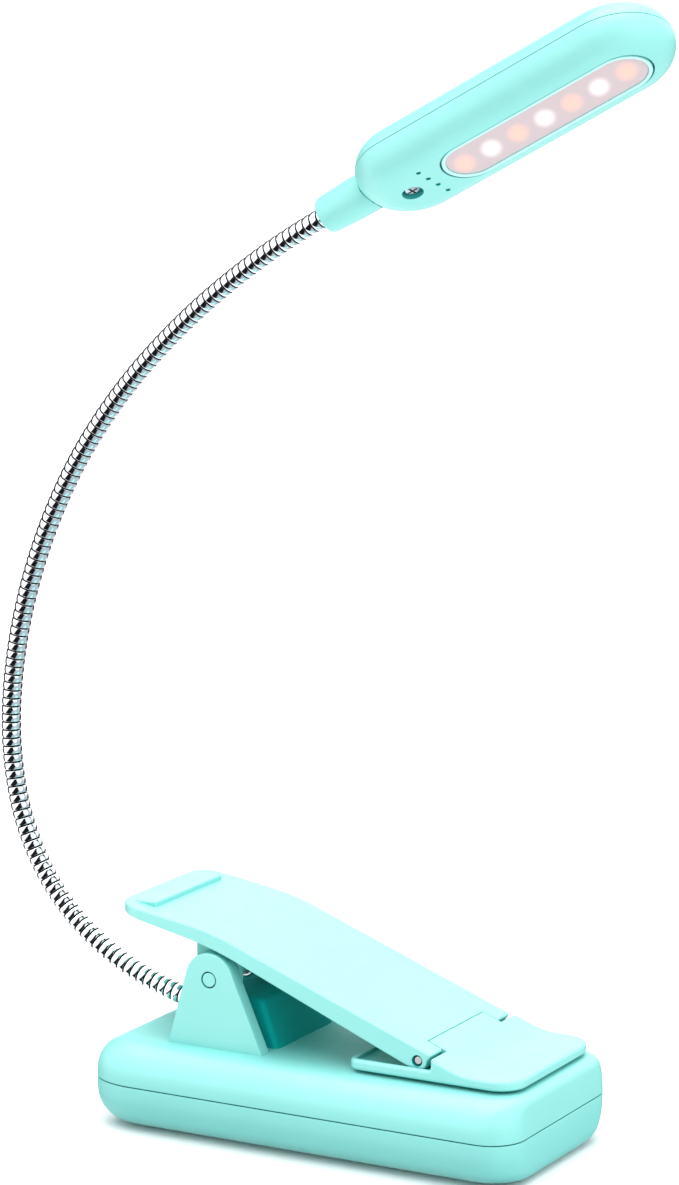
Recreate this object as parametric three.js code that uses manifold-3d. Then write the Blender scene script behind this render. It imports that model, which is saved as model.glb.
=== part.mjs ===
// Clip-on reading lamp: a battery base whose top is one half of a spring clip, a lever with a
// hinged jaw as the other half, a flexible metal neck, and a pill-shaped LED head.
// Millimetres. +X runs from the neck end of the base to the jaw end, +Y across it, +Z up.
// The origin is on the base's underside, where it rests on a table, 1.15 mm behind its middle. The
// pieces are drawn from a level 2.2 mm above that, and the whole lamp is lifted onto its underside at the end.
import * as THREE from 'three';
import { mergeVertices } from 'three/addons/utils/BufferGeometryUtils.js';
import ManifoldModule from 'manifold-3d';

const wasm = await ManifoldModule();
wasm.setup();

// ---------------------------------------------------------------- driving dimensions
const GAP = 0.3;                       // clearance between neighbouring pieces

const BASE = {
  rearX: -57.3, frontX: 59.6, halfWidth: 29.25, bottom: -2.2, height: 20, parting: 9.5, wall: 2,
  frontCorner: 9, rearCornerLength: 13.3, rearCornerWidth: 8.5,
};
const BASE_TOP = { flatZ: BASE.height, round: 8.3, frontRound: 3, draft: 0.3, frontCorner: 4.5 };
const BASE_UNDER = { flatZ: BASE.bottom, round: 9, frontRound: 4, draft: 0.3, frontCorner: 10 };
const EAR = { outer: 21, inner: 17, radius: 6.6, rearFoot: -37.7, frontFoot: -11.3 };
const POST = {
  halfWidth: 14, top: 32, rearFoot: -37.5, rearTop: -34, frontFoot: -10.6, frontTop: -15, wall: 2.4,
};
const PIVOT = { x: -26, z: 37.1, pinRadius: 1.75, hubRadius: 6 };
const LEVER = {
  halfWidth: 21, rearX: -52.7, rearTop: 53.3, rearUnder: 51, bendX: -25.5, bendTop: 49.1, bendUnder: 45.2,
  seamX: 30.6, lugTipX: 35, lugInner: 14.6, lugUnderX: 29.5, lugUnder: 23.9, lugRadius: 2.5,
  skin: 2.2, skirt: 1.8, edgeRound: 0.6, rearCornerRadius: 6.5, cheekInner: 14.4, cheekOuter: 16.6,
  ridgeFront: -44, ridgeRear: -50.5, ridgeHalfWidth: 16, ridgeHeight: 1.4,
};
const JAW = {
  pinX: 31.3, pinZ: 25, pinRadius: 0.9, hubRadius: 2, halfWidth: 22.3, rearX: 13, frontX: 57.6,
  underside: 20.7, floor: 22.3, rim: 1, rimTop: 23.4, rearWall: 1.2, rearWallTop: 23.1, noseTop: 23.3,
  humpInner: 14.3, rampX: 35.4, noseX: 45.5, frontCornerRadius: 7, rearCornerRadius: 3,
};
const PAD = { x0: 24, x1: 53, halfWidth: 16, thickness: 0.9 };
const NECK = {
  radius: 2.5, startX: -36, startZ: 23.8, startHeading: 172.9, linkLength: 20.6, spigot: 6,
  bends: [12.5, 18.5, 21.5, 19.5, 14, 9.5, 8, 8, 8.5, 7.5, 6, 5.5, 5.5],   // degrees, base to head
};
const HEAD = {
  length: 86.5, halfWidth: 13.8, halfThickness: 6.8, parting: 0.6, wall: 1.5, roll: 26.5,
  collarRadius: 5, collarLength: 12.7,
};
const WINDOW = { x0: 23.6, x1: 79, halfWidth: 6.3, flange: 0.9 };
const LED = { count: 7, firstX: 27.7, pitch: 7.75, length: 3.5, width: 2.8, height: 0.8 };
const INDICATOR = { count: 4, x: 18.3, pitch: 3.8, radius: 0.6 };
const HEAD_SCREW = { x: 12.2, recessRadius: 2.6, headRadius: 1.9, shankRadius: 1 };
const BUTTON = { x: 24, radius: 4.5, height: 0.7, travel: 0.8 };

const rad = THREE.MathUtils.degToRad;

// ---------------------------------------------------------------- materials
function material(color, roughness, metalness = 0) {
  return new THREE.MeshStandardMaterial({ color, roughness, metalness });
}
const mint = () => material(0xaef3ea, 0.45);
const silicone = () => material(0x6fc9bf, 0.8);
const steel = () => material(0xc9ced2, 0.3, 1);
const chrome = () => material(0xe6e9ec, 0.08, 1);
const circuitBoard = () => material(0x1f5a3c, 0.6);
const frosted = () => material(0xe6dcde, 0.5);
const warmLed = () => material(0xffd2b8, 0.4);
const whiteLed = () => material(0xffffff, 0.4);
const blackPlastic = () => material(0x202326, 0.5);

// ---------------------------------------------------------------- solids
function toSolid(geometry) {
  const bare = geometry.clone();
  bare.deleteAttribute('normal');
  bare.deleteAttribute('uv');
  const merged = mergeVertices(bare, 1e-4);
  const index = merged.index.array;
  return new wasm.Manifold(new wasm.Mesh({
    numProp: 3,
    vertProperties: new Float32Array(merged.attributes.position.array),
    triVerts: new Uint32Array(index),
  }));
}

function toGeometry(solid) {
  const mesh = solid.getMesh();
  const geometry = new THREE.BufferGeometry();
  geometry.setAttribute('position', new THREE.BufferAttribute(new Float32Array(mesh.vertProperties), 3));
  geometry.setIndex(new THREE.BufferAttribute(new Uint32Array(mesh.triVerts), 1));
  geometry.computeVertexNormals();
  return geometry;
}

// A body, with some geometries joined to it and others then cut from it.
function shaped(body, { add = [], cut = [], keep = [] } = {}) {
  let solid = toSolid(body);
  for (const piece of add) solid = solid.add(toSolid(piece));
  for (const piece of keep) solid = solid.intersect(toSolid(piece));
  for (const piece of cut) solid = solid.subtract(toSolid(piece));
  return toGeometry(solid);
}

function box(x0, x1, y0, y1, z0, z1) {
  const geometry = new THREE.BoxGeometry(x1 - x0, y1 - y0, z1 - z0);
  return geometry.translate((x0 + x1) / 2, (y0 + y1) / 2, (z0 + z1) / 2);
}

function cylinderX(radius, x0, x1, y = 0, z = 0, sides = 24) {
  const geometry = new THREE.CylinderGeometry(radius, radius, x1 - x0, sides);
  return geometry.rotateZ(-Math.PI / 2).translate((x0 + x1) / 2, y, z);
}

function cylinderY(radius, y0, y1, x, z, sides = 24) {
  return new THREE.CylinderGeometry(radius, radius, y1 - y0, sides).translate(x, (y0 + y1) / 2, z);
}

function cylinderZ(radius, z0, z1, x, y, sides = 24) {
  const geometry = new THREE.CylinderGeometry(radius, radius, z1 - z0, sides);
  return geometry.rotateX(Math.PI / 2).translate(x, y, (z0 + z1) / 2);
}

// A plan outline, counter-clockwise from the +X +Y corner, through four corner arcs of [x, y, rx, ry].
function cornered(arcs, cornerSteps = 6) {
  const points = [];
  arcs.forEach(([cx, cy, rx, ry], corner) => {
    for (let step = 0; step <= cornerSteps; step += 1) {
      const angle = (corner + step / cornerSteps) * Math.PI / 2;
      points.push(new THREE.Vector2(cx + rx * Math.cos(angle), cy + ry * Math.sin(angle)));
    }
  });
  return points;
}

// A rectangle in plan with four round corners.
function roundedOutline(x0, x1, y0, y1, radius, cornerSteps = 6) {
  const corners = [[x1 - radius, y1 - radius], [x0 + radius, y1 - radius],
    [x0 + radius, y0 + radius], [x1 - radius, y0 + radius]];
  return cornered(corners.map(([x, y]) => [x, y, radius, radius]), cornerSteps);
}

// A closed solid through a stack of outlines with equal point counts, lowest first.
function loft(layers) {
  const count = layers[0].outline.length;
  const positions = [];
  const faces = [];
  for (const { outline, z } of layers) {
    for (const point of outline) positions.push(point.x, point.y, z);
  }
  for (let layer = 0; layer + 1 < layers.length; layer += 1) {
    for (let i = 0; i < count; i += 1) {
      const a = layer * count + i;
      const b = layer * count + (i + 1) % count;
      faces.push(a, b, b + count, a, b + count, a + count);
    }
  }
  const top = (layers.length - 1) * count;
  for (let i = 1; i + 1 < count; i += 1) {
    faces.push(0, i + 1, i);
    faces.push(top, top + i, top + i + 1);
  }
  const geometry = new THREE.BufferGeometry();
  geometry.setAttribute('position', new THREE.Float32BufferAttribute(positions, 3));
  geometry.setIndex(faces);
  return geometry;
}

function prism(outline, z0, z1) {
  return loft([{ outline, z: z0 }, { outline, z: z1 }]);
}

// A side profile in X and Z, extruded across Y, with its side edges rounded by `round`.
function sideProfile(shape, y0, y1, round = 0, curveSegments = 8) {
  const geometry = new THREE.ExtrudeGeometry(shape, {
    depth: y1 - y0 - 2 * round, curveSegments, bevelEnabled: round > 0, bevelSegments: 3,
    bevelSize: round, bevelThickness: round, bevelOffset: -round,
  });
  return geometry.translate(0, 0, round - y1).rotateX(Math.PI / 2);
}

function polygon(points) {
  return new THREE.Shape(points.map(([x, z]) => new THREE.Vector2(x, z)));
}

function mesh(name, geometry, surface) {
  const piece = new THREE.Mesh(geometry, surface);
  piece.name = name;
  return piece;
}

// ---------------------------------------------------------------- base
// The base's plan at one level, drawn in from its widest by `side` and, at the front, by `front`.
function baseOutline(side, front, corner) {
  const length = Math.max(BASE.rearCornerLength - side, 2);
  const width = Math.max(BASE.rearCornerWidth - side, 1.5);
  const frontX = BASE.frontX - front - corner;
  const rearX = BASE.rearX + side + length;
  const y = BASE.halfWidth - side;
  return cornered([
    [frontX, y - corner, corner, corner], [rearX, y - width, length, width],
    [rearX, width - y, length, width], [frontX, corner - y, corner, corner],
  ]);
}

// One half of the base from `edgeZ` near the parting line to its flat face, `offset` inside the skin.
function baseForm(half, edgeZ, offset) {
  const steps = offset > 0 ? 2 : 5;
  const away = Math.sign(half.flatZ - BASE.parting);
  const flatZ = half.flatZ - away * offset;
  const round = half.round - offset;
  const frontRound = Math.max(half.frontRound - offset, 1);
  const layers = [];
  const addLayer = (z, roundInset) => {
    const drawnIn = offset + half.draft * Math.abs(z - BASE.parting) / Math.abs(half.flatZ - BASE.parting);
    const depth = Math.min(Math.abs(flatZ - z), frontRound);
    const frontInset = frontRound - Math.sqrt(frontRound ** 2 - (frontRound - depth) ** 2);
    const corner = BASE.frontCorner + (half.frontCorner - BASE.frontCorner) * roundInset / round - offset;
    layers.push({ outline: baseOutline(drawnIn + roundInset, drawnIn + frontInset, Math.max(corner, 2)), z });
  };
  addLayer(edgeZ, 0);
  for (let step = 0; step <= steps; step += 1) {
    const angle = step / steps * Math.PI / 2;
    addLayer(flatZ - away * round * (1 - Math.sin(angle)), round * (1 - Math.cos(angle)));
  }
  return loft(away > 0 ? layers : layers.reverse());
}

// A closed wall that follows the base's outline between two offsets from the skin.
function baseRing(outerOffset, innerOffset, z0, z1) {
  const outline = (offset) => baseOutline(offset, offset, BASE.frontCorner - offset);
  return shaped(prism(outline(outerOffset), z0, z1), {
    cut: [prism(outline(innerOffset), z0 - 1, z1 + 1)],
  });
}

const SCREW = { x: 44, y: 16, headRadius: 2.3, headFoot: -0.8, headTop: 0.9, shankRadius: 1.1, tip: 11.5 };
const screwPlaces = [[-1, -1], [1, -1], [-1, 1], [1, 1]].map(([sx, sy]) => [sx * SCREW.x, sy * SCREW.y]);
const BOSS = { foot: BASE.bottom + 1.5, seat: 3.2, radius: 4, upperRadius: 3 };
const USB = { halfWidth: 4.5, z0: 4.4, z1: 7.6, x0: -56.4, x1: -49 };
const BOARD = { x0: -53, x1: -28, halfWidth: 11, z0: 3.1, z1: 4.3 };

function baseLowerShell() {
  const lipFoot = baseRing(BASE.wall - 0.5, BASE.wall + 1.5, 5.5, BASE.parting - GAP);
  const lip = baseRing(BASE.wall + 0.5, BASE.wall + 1.5, BASE.parting - 1, BASE.parting + 1.5);
  const bosses = screwPlaces.map(([x, y]) => cylinderZ(BOSS.radius, BOSS.foot, BOSS.seat, x, y));
  const recesses = screwPlaces.map(([x, y]) => cylinderZ(
    SCREW.headRadius + GAP, BASE.bottom - 1, SCREW.headTop + 0.1, x, y));
  const holes = screwPlaces.map(([x, y]) => cylinderZ(SCREW.shankRadius + GAP, 0, 4, x, y, 16));
  const ribs = [-50, -33].map((x) => box(x, x + 2, -9, 9, BOSS.foot, BOARD.z0 - GAP));
  const shell = shaped(baseForm(BASE_UNDER, BASE.parting - GAP / 2, 0), {
    cut: [baseForm(BASE_UNDER, BASE.parting + 1, BASE.wall)],
  });
  const port = box(-62, -50, -USB.halfWidth - GAP, USB.halfWidth + GAP, USB.z0 - GAP, USB.z1 + GAP);
  return shaped(shell, { add: [lipFoot, lip, ...bosses, ...ribs], cut: [...recesses, ...holes, port] });
}

function tangentFrom([x, z], centreX, centreZ, radius, side) {
  const distance = Math.hypot(centreX - x, centreZ - z);
  const angle = Math.atan2(centreZ - z, centreX - x) + side * Math.asin(radius / distance);
  const length = Math.sqrt(distance ** 2 - radius ** 2);
  return [x + length * Math.cos(angle), z + length * Math.sin(angle)];
}

// An ear of the clip: a foot as wide as given, closing in to a round top about the pivot.
function earShape() {
  const root = BASE.height - 3;
  const rear = tangentFrom([EAR.rearFoot, BASE.height], PIVOT.x, PIVOT.z, EAR.radius, 1);
  const front = tangentFrom([EAR.frontFoot, BASE.height], PIVOT.x, PIVOT.z, EAR.radius, -1);
  const angleOf = ([x, z]) => Math.atan2(z - PIVOT.z, x - PIVOT.x);
  const shape = new THREE.Shape();
  shape.moveTo(EAR.rearFoot, root);
  shape.lineTo(EAR.rearFoot, BASE.height);
  shape.lineTo(...rear);
  shape.absarc(PIVOT.x, PIVOT.z, EAR.radius, angleOf(rear), angleOf(front), true);
  shape.lineTo(EAR.frontFoot, BASE.height);
  shape.lineTo(EAR.frontFoot, root);
  return shape;
}

function postShape(inset, root, top) {
  return polygon([
    [POST.rearFoot + inset, root], [POST.rearTop + inset, top],
    [POST.frontTop - inset, top], [POST.frontFoot - inset, root],
  ]);
}

// Puts geometry built along +X at a point in the middle plane, turned up to a heading in degrees.
function atHeading(geometry, x, z, heading) {
  return geometry.rotateY(-rad(heading)).translate(x, 0, z);
}

function baseUpperShell() {
  const ears = [[EAR.inner, EAR.outer], [-EAR.outer, -EAR.inner]].map(([y0, y1]) => sideProfile(earShape(), y0, y1));
  const post = sideProfile(postShape(0, BASE.height - 3, POST.top), -POST.halfWidth, POST.halfWidth, 1.2);
  const pocketHalf = POST.halfWidth - POST.wall;
  const pocket = sideProfile(postShape(POST.wall, BASE.height - 4, POST.top - POST.wall), -pocketHalf, pocketHalf);
  const neckHole = atHeading(
    cylinderX(NECK.radius + GAP, -5, 4), NECK.startX, NECK.startZ, NECK.startHeading);
  const pivotHole = cylinderY(PIVOT.pinRadius + 0.15, -EAR.outer - 1, EAR.outer + 1, PIVOT.x, PIVOT.z, 32);
  const bosses = screwPlaces.map(([x, y]) => cylinderZ(
    BOSS.upperRadius, BOSS.seat + GAP, BASE.height - 1, x, y));
  const pilots = screwPlaces.map(([x, y]) => cylinderZ(SCREW.shankRadius + 0.2, 3, SCREW.tip + 1.5, x, y, 16));
  const padRecess = box(PAD.x0, PAD.x1, -PAD.halfWidth, PAD.halfWidth, BASE.height - PAD.thickness, BASE.height + 1);
  const shell = shaped(baseForm(BASE_TOP, BASE.parting + GAP / 2, 0), {
    cut: [baseForm(BASE_TOP, BASE.parting - 1, BASE.wall)],
  });
  return shaped(shell, { add: [...ears, post, ...bosses], cut: [pocket, neckHole, pivotHole, ...pilots, padRecess] });
}

function baseScrew([x, y]) {
  const head = cylinderZ(SCREW.headRadius, SCREW.headFoot, SCREW.headTop, x, y);
  const shank = cylinderZ(SCREW.shankRadius, SCREW.headTop - 0.5, SCREW.tip, x, y, 12);
  const slot = box(x - 1.4, x + 1.4, y - 0.3, y + 0.3, SCREW.headFoot - 1, SCREW.headFoot + 0.7);
  return shaped(head, { add: [shank], cut: [slot] });
}

function usbPort() {
  const shell = box(USB.x0, USB.x1, -USB.halfWidth, USB.halfWidth, USB.z0, USB.z1);
  const mouth = box(USB.x0 - 1, USB.x1 - 1, -USB.halfWidth + 0.4, USB.halfWidth - 0.4, USB.z0 + 0.4, USB.z1 - 0.4);
  const tongue = box(USB.x0 + 1, USB.x1 - 0.5, -3, 3, 5.7, 6.3);
  return shaped(shaped(shell, { cut: [mouth] }), { add: [tongue] });
}

function gripPad(z0, z1) {
  const inset = GAP;
  return prism(roundedOutline(
    PAD.x0 + inset, PAD.x1 - inset, inset - PAD.halfWidth, PAD.halfWidth - inset, 2, 4), z0, z1);
}

// ---------------------------------------------------------------- clip lever
const leverSlope = (LEVER.lugUnder - LEVER.bendUnder) / (LEVER.lugUnderX - LEVER.bendX);
const topSlope = Math.tan(rad(-20.4));

// Height of the lever's top face at x: a flatter thumb end behind the bend, a steady ramp before it.
function leverTop(x) {
  if (x > LEVER.bendX) return LEVER.bendTop + topSlope * (x - LEVER.bendX);
  const share = (x - LEVER.rearX) / (LEVER.bendX - LEVER.rearX);
  return LEVER.rearTop + share * (LEVER.bendTop - LEVER.rearTop);
}

function leverSideShape() {
  const lug = LEVER.lugRadius;
  const underStart = Math.atan(leverSlope) - Math.PI / 2;
  const shape = new THREE.Shape();
  shape.moveTo(LEVER.rearX + 0.6, LEVER.rearUnder);
  shape.lineTo(LEVER.rearX, LEVER.rearUnder + 0.6);
  shape.lineTo(LEVER.rearX, LEVER.rearTop - 1.1);
  shape.lineTo(LEVER.rearX + 1.1, leverTop(LEVER.rearX + 1.1));
  shape.lineTo(LEVER.bendX - 5, leverTop(LEVER.bendX - 5));
  shape.quadraticCurveTo(LEVER.bendX, LEVER.bendTop, LEVER.bendX + 5, leverTop(LEVER.bendX + 5));
  shape.lineTo(LEVER.lugTipX - 0.8, leverTop(LEVER.lugTipX - 0.8));
  shape.lineTo(LEVER.lugTipX - 0.3, JAW.pinZ + 1.3);
  shape.absarc(JAW.pinX, JAW.pinZ, lug, 0, underStart, true);
  shape.lineTo(LEVER.bendX + 4, LEVER.bendUnder + 4 * leverSlope);
  shape.quadraticCurveTo(LEVER.bendX, LEVER.bendUnder, LEVER.bendX - 5, LEVER.bendUnder + 1.1);
  return shape;
}

function leverPocketShape() {
  const under = 4;
  return polygon([
    [-45, leverTop(-45) - LEVER.skin - 0.2], [LEVER.bendX - 2, leverTop(LEVER.bendX - 2) - LEVER.skin],
    [27, leverTop(27) - LEVER.skin], [27, leverTop(27) - LEVER.skin - under - 3],
    [LEVER.bendX - 2, LEVER.bendUnder - under], [-45, LEVER.rearUnder - under],
  ]);
}

function cheekShape() {
  const hub = PIVOT.hubRadius;
  const shape = new THREE.Shape();
  shape.moveTo(PIVOT.x + hub, leverTop(PIVOT.x + hub) - 1);
  shape.lineTo(PIVOT.x - hub, leverTop(PIVOT.x - hub) - 1);
  shape.lineTo(PIVOT.x - hub, PIVOT.z);
  shape.absarc(PIVOT.x, PIVOT.z, hub, Math.PI, 2 * Math.PI, false);
  return shape;
}

function ridgeShape() {
  const { ridgeFront, ridgeRear, ridgeHeight } = LEVER;
  return polygon([
    [ridgeFront, leverTop(ridgeFront) - 1], [ridgeFront, leverTop(ridgeFront) + ridgeHeight - 0.3],
    [ridgeFront - 0.4, leverTop(ridgeFront) + ridgeHeight], [ridgeRear, leverTop(ridgeRear) + 0.1],
    [ridgeRear, leverTop(ridgeRear) - 1],
  ]);
}

function leverBody() {
  const plate = sideProfile(leverSideShape(), -LEVER.halfWidth, LEVER.halfWidth, LEVER.edgeRound, 10);
  const plan = prism(roundedOutline(
    LEVER.rearX, LEVER.lugTipX + 20, -LEVER.halfWidth, LEVER.halfWidth, LEVER.rearCornerRadius), 10, 70);
  const pocketHalf = LEVER.halfWidth - LEVER.skirt;
  const pocket = sideProfile(leverPocketShape(), -pocketHalf, pocketHalf);
  const between = box(LEVER.seamX, LEVER.lugTipX + 5, -LEVER.lugInner, LEVER.lugInner, 10, 40);
  const hubRoom = cylinderY(JAW.hubRadius + GAP, -LEVER.lugInner, LEVER.lugInner, JAW.pinX, JAW.pinZ, 32);
  const swingRoom = box(JAW.pinX - 2.5, JAW.pinX, -LEVER.lugInner, LEVER.lugInner, 10, JAW.pinZ - 0.4);
  const hollow = shaped(plate, { keep: [plan], cut: [pocket, between, hubRoom, swingRoom] });
  const cheeks = [[LEVER.cheekInner, LEVER.cheekOuter], [-LEVER.cheekOuter, -LEVER.cheekInner]]
    .map(([y0, y1]) => sideProfile(cheekShape(), y0, y1));
  const ridge = sideProfile(ridgeShape(), -LEVER.ridgeHalfWidth, LEVER.ridgeHalfWidth);
  return shaped(hollow, {
    add: [...cheeks, ridge],
    cut: [
      cylinderY(PIVOT.pinRadius + 0.15, -LEVER.halfWidth, LEVER.halfWidth, PIVOT.x, PIVOT.z, 32),
      cylinderY(JAW.pinRadius + 0.15, -LEVER.halfWidth - 1, LEVER.halfWidth + 1, JAW.pinX, JAW.pinZ, 20),
    ],
  });
}

// ---------------------------------------------------------------- jaw
function jawPlateShape() {
  const { rearX, frontX, underside, rimTop, noseTop, rampX, noseX } = JAW;
  const rampEndX = LEVER.bendX + (noseTop - LEVER.bendTop) / topSlope;
  const shape = new THREE.Shape();
  shape.moveTo(rearX, underside);
  shape.lineTo(frontX - 0.5, underside);
  shape.lineTo(frontX, underside + 0.5);
  shape.lineTo(frontX, noseTop - 1);
  shape.quadraticCurveTo(frontX, noseTop, frontX - 1, noseTop);
  shape.lineTo(noseX + 2, noseTop);
  shape.quadraticCurveTo(rampEndX, noseTop, rampEndX - 3, leverTop(rampEndX - 3));
  shape.lineTo(rampX, leverTop(rampX));
  shape.lineTo(rampX, rimTop);
  shape.lineTo(rearX, rimTop);
  return shape;
}

function jawHumpShape() {
  const hub = JAW.hubRadius;
  const wallX = LEVER.seamX + GAP;
  const wallAngle = Math.acos((wallX - JAW.pinX) / hub);
  const shape = new THREE.Shape();
  shape.moveTo(JAW.rampX + 1, JAW.underside + 0.8);
  shape.lineTo(JAW.rampX + 1, leverTop(JAW.rampX + 1));
  shape.lineTo(wallX, leverTop(wallX));
  shape.absarc(JAW.pinX, JAW.pinZ, hub, wallAngle, Math.PI + 0.45, false);
  shape.lineTo(JAW.pinX - 0.5, JAW.underside + 0.8);
  return shape;
}

// The room under the lever: it leaves a rim along both sides and a lower wall across the rear.
function jawTray() {
  const half = JAW.halfWidth - JAW.rim;
  return [
    box(JAW.rearX + JAW.rearWall, JAW.rampX, -half, half, JAW.floor, JAW.rimTop + 1),
    box(JAW.rearX - 1, JAW.rampX, -half, half, JAW.rearWallTop, JAW.rimTop + 1),
  ];
}

function jawBody() {
  const plate = shaped(sideProfile(jawPlateShape(), -JAW.halfWidth, JAW.halfWidth, 0.6, 10), { cut: jawTray() });
  const hump = sideProfile(jawHumpShape(), -JAW.humpInner, JAW.humpInner, 0, 10);
  const frontPlan = prism(roundedOutline(
    -20, JAW.frontX, -JAW.halfWidth, JAW.halfWidth, JAW.frontCornerRadius), 10, 40);
  const rearPlan = prism(roundedOutline(
    JAW.rearX, 90, -JAW.halfWidth, JAW.halfWidth, JAW.rearCornerRadius), 10, 40);
  const padRecess = box(PAD.x0, PAD.x1, -PAD.halfWidth, PAD.halfWidth, 10, JAW.underside + PAD.thickness);
  const pinHole = cylinderY(JAW.pinRadius + 0.15, -JAW.halfWidth - 1, JAW.halfWidth + 1, JAW.pinX, JAW.pinZ, 20);
  return shaped(plate, { add: [hump], keep: [frontPlan, rearPlan], cut: [padRecess, pinHole] });
}

// ---------------------------------------------------------------- spring
class PivotCoil extends THREE.Curve {
  constructor({ radius, turns, startAngle, y0, y1 }) {
    super();
    Object.assign(this, { radius, turns, startAngle, y0, y1 });
  }

  getPoint(t, target = new THREE.Vector3()) {
    const angle = this.startAngle + t * this.turns * 2 * Math.PI;
    return target.set(
      PIVOT.x + this.radius * Math.cos(angle), this.y0 + t * (this.y1 - this.y0),
      PIVOT.z + this.radius * Math.sin(angle));
  }
}

function circleShape(radius, sides) {
  const points = [];
  for (let i = 0; i < sides; i += 1) {
    const angle = i / sides * 2 * Math.PI;
    points.push(new THREE.Vector2(radius * Math.cos(angle), radius * Math.sin(angle)));
  }
  return new THREE.Shape(points);
}

const SPRING = { coilRadius: 2.9, wireRadius: 0.5, halfLength: 4.2, wholeTurns: 6, armAngle: 62, armReach: 14 };

// One wire: a lower arm resting on the post, the coil about the pivot pin, an upper arm under the lever.
function leverSpring() {
  const turns = SPRING.wholeTurns + (90 + SPRING.armAngle) / 360;
  const coil = new PivotCoil({
    radius: SPRING.coilRadius, turns, startAngle: -Math.PI / 2, y0: SPRING.halfLength, y1: -SPRING.halfLength,
  });
  const start = coil.getPoint(0);
  const end = coil.getPoint(1);
  const armHeading = rad(90 + SPRING.armAngle);
  const path = new THREE.CurvePath();
  path.add(new THREE.LineCurve3(new THREE.Vector3(POST.rearTop + 1.5, start.y, start.z - 0.9), start));
  path.add(coil);
  path.add(new THREE.LineCurve3(end, new THREE.Vector3(
    end.x + SPRING.armReach * Math.cos(armHeading), end.y, end.z + SPRING.armReach * Math.sin(armHeading))));
  return new THREE.ExtrudeGeometry(circleShape(SPRING.wireRadius, 6), {
    steps: 84, extrudePath: path, bevelEnabled: false,
  });
}

// ---------------------------------------------------------------- neck
// An arc in the middle plane that starts at (x, z) on a heading and turns clockwise by `bend` degrees.
class NeckArc extends THREE.Curve {
  constructor({ x, z, heading, bend }) {
    super();
    Object.assign(this, { x, z, heading, bend });
  }

  getPoint(t, target = new THREE.Vector3()) {
    const radius = NECK.linkLength / rad(this.bend);
    const start = rad(this.heading);
    const now = rad(this.heading - t * this.bend);
    return target.set(
      this.x + radius * (Math.sin(start) - Math.sin(now)), 0,
      this.z + radius * (Math.cos(now) - Math.cos(start)));
  }
}

function neckArcs() {
  const arcs = [];
  let place = { x: NECK.startX, z: NECK.startZ, heading: NECK.startHeading };
  for (const bend of NECK.bends) {
    const arc = new NeckArc({ ...place, bend });
    const end = arc.getPoint(1);
    arcs.push(arc);
    place = { x: end.x, z: end.z, heading: place.heading - bend };
  }
  return { arcs, end: place };
}

const SIDES = 12;
const neck = neckArcs();

// A link: a curved tube with a ball at its head end, and a cup for the ball of the link before.
function neckLink(index) {
  const arc = neck.arcs[index];
  const isLast = index === neck.arcs.length - 1;
  const end = arc.getPoint(1);
  const tube = new THREE.ExtrudeGeometry(circleShape(NECK.radius, SIDES), {
    steps: 4, extrudePath: arc, bevelEnabled: false,
  });
  const add = [];
  const cut = [];
  if (isLast) {
    add.push(atHeading(cylinderX(NECK.radius, -0.5, NECK.spigot, 0, 0, SIDES), end.x, end.z, neck.end.heading));
  } else {
    add.push(new THREE.SphereGeometry(NECK.radius, SIDES, 8).translate(end.x, 0, end.z));
  }
  if (index === 0) {
    add.push(atHeading(cylinderX(NECK.radius, -9, 0.5, 0, 0, SIDES), arc.x, arc.z, arc.heading));
  } else {
    cut.push(new THREE.SphereGeometry(NECK.radius + GAP, SIDES, 8).translate(arc.x, 0, arc.z));
  }
  return shaped(tube, { add, cut });
}

function neckAnchor() {
  const sleeve = shaped(cylinderX(4, -9, -3.6, 0, 0, 24), {
    cut: [cylinderX(NECK.radius + GAP, -10, -3, 0, 0, 24)],
  });
  return atHeading(sleeve, NECK.startX, NECK.startZ, NECK.startHeading);
}

// ---------------------------------------------------------------- head, in its own frame
// +X along the head from its neck end, +Y across it, +Z through its back; the lamp shines along -Z.
function stadium(x0, x1, halfWidth) {
  return roundedOutline(x0, x1, -halfWidth, halfWidth, halfWidth - 0.02, 9);
}

function headForm(z0, z1, offset, neckEnd) {
  const steps = offset > 0 ? 4 : 5;
  const radius = HEAD.halfThickness - offset;
  const a0 = Math.asin(z0 / radius);
  const a1 = Math.asin(z1 / radius);
  const layers = [];
  for (let step = 0; step <= steps; step += 1) {
    const angle = a0 + step / steps * (a1 - a0);
    const inset = radius * (1 - Math.cos(angle));
    layers.push({
      outline: stadium(neckEnd + inset, HEAD.length - offset - inset, HEAD.halfWidth - offset - inset),
      z: radius * Math.sin(angle),
    });
  }
  return loft(layers);
}

const cavityHalf = HEAD.halfThickness - HEAD.wall;
const CAVITY_START = 5;
const POSTS_X = [36, 72];
const collarHoles = () => [
  cylinderX(HEAD.collarRadius + GAP, -2, 2.6, 0, 0, 32), cylinderX(3.5, 2, CAVITY_START + 1, 0, 0, 24),
  cylinderX(4.9, CAVITY_START, 7, 0, 0, 24),
];

function headUpperShell() {
  const skin = headForm(HEAD.parting + GAP / 2, HEAD.halfThickness, 0, 0);
  const cavity = headForm(HEAD.parting - 1, cavityHalf, HEAD.wall, CAVITY_START);
  const boss = cylinderZ(2.8, HEAD.parting + GAP / 2, cavityHalf + 0.5, HEAD_SCREW.x, 0);
  const posts = POSTS_X.map((x) => cylinderZ(1.8, -1.5, cavityHalf + 0.5, x, 0, 16));
  const pilot = cylinderZ(HEAD_SCREW.shankRadius + 0.15, 0, 5, HEAD_SCREW.x, 0, 16);
  const buttonHole = cylinderZ(BUTTON.radius + GAP, 3, 8, BUTTON.x, 0, 32);
  const shell = shaped(skin, { cut: [cavity] });
  return shaped(shell, { add: [boss, ...posts], cut: [pilot, buttonHole, ...collarHoles()] });
}

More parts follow.
